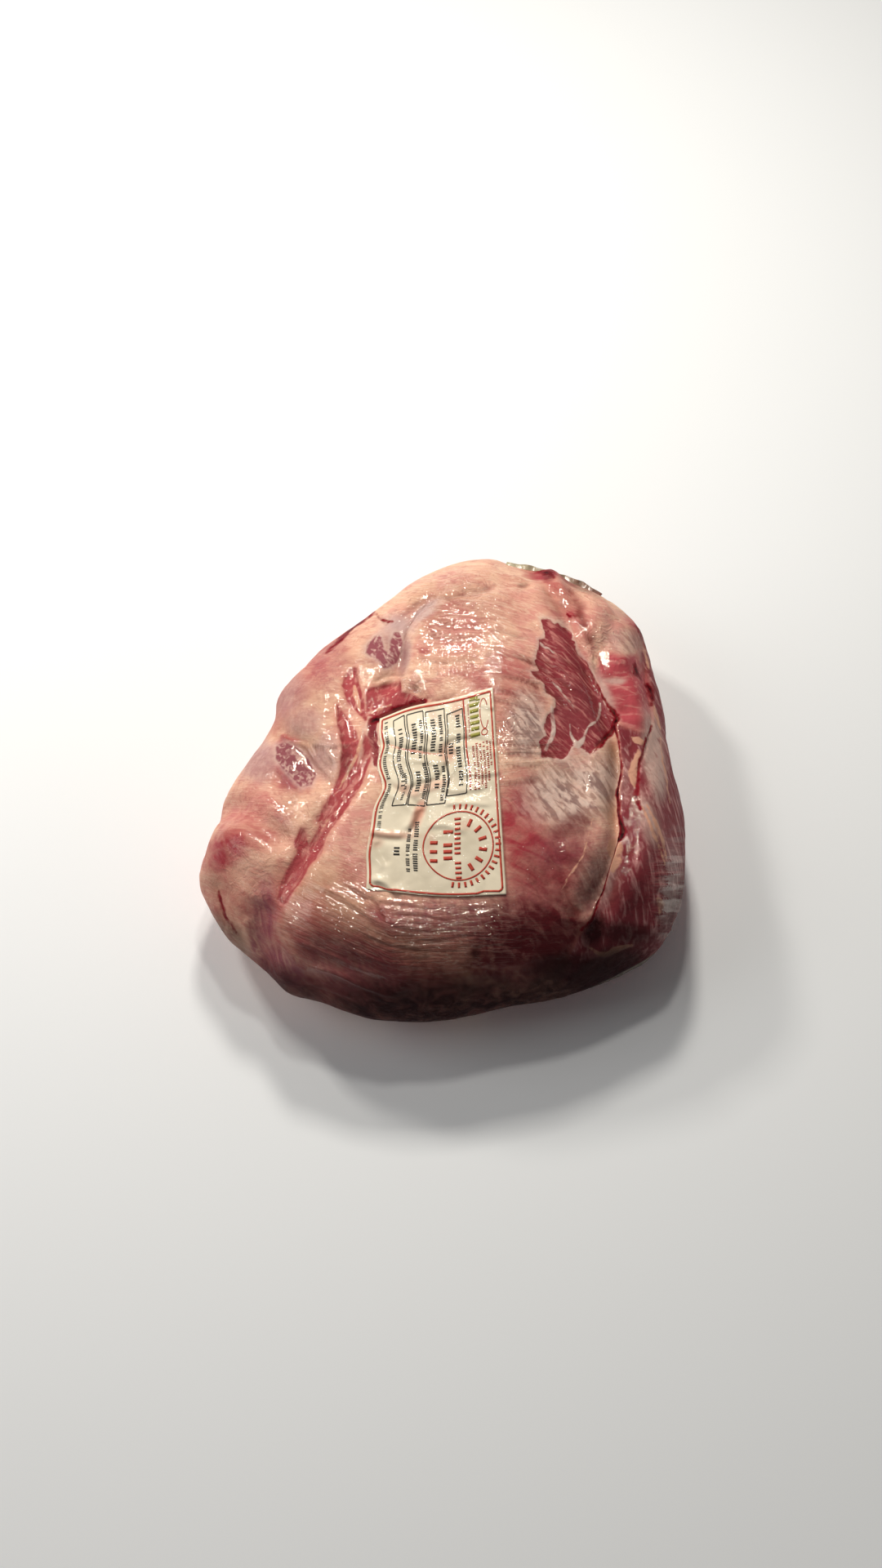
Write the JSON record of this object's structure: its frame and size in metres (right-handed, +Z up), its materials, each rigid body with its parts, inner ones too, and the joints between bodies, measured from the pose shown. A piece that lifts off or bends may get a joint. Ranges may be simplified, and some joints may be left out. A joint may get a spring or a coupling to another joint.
{
  "type": "vacuum-packed beef shoulder clod",
  "caption": "Boneless beef shoulder clod, a thick lump of fat and lean with deep seams, shrink-wrapped in clear film over a plain paper label.",
  "frame": {"origin": "middle of the pack's box at the surface that it lies on", "axes": "+Z up through the show face, +X to the right and +Y away from an eye that reads the pack as pictured"},
  "size_m": [0.3514, 0.3808, 0.1269],
  "materials": {
    "wrapped_beef": "cream-pink fat with dark red lean showing through tight, wet-looking clear film",
    "label_paper": "off-white paper with thin printed lines, creased under shrunk film"
  },
  "bodies": {
    "root": {"bagged_clod": "wrapped_beef", "label": "label_paper"}
  },
  "joints": []
}
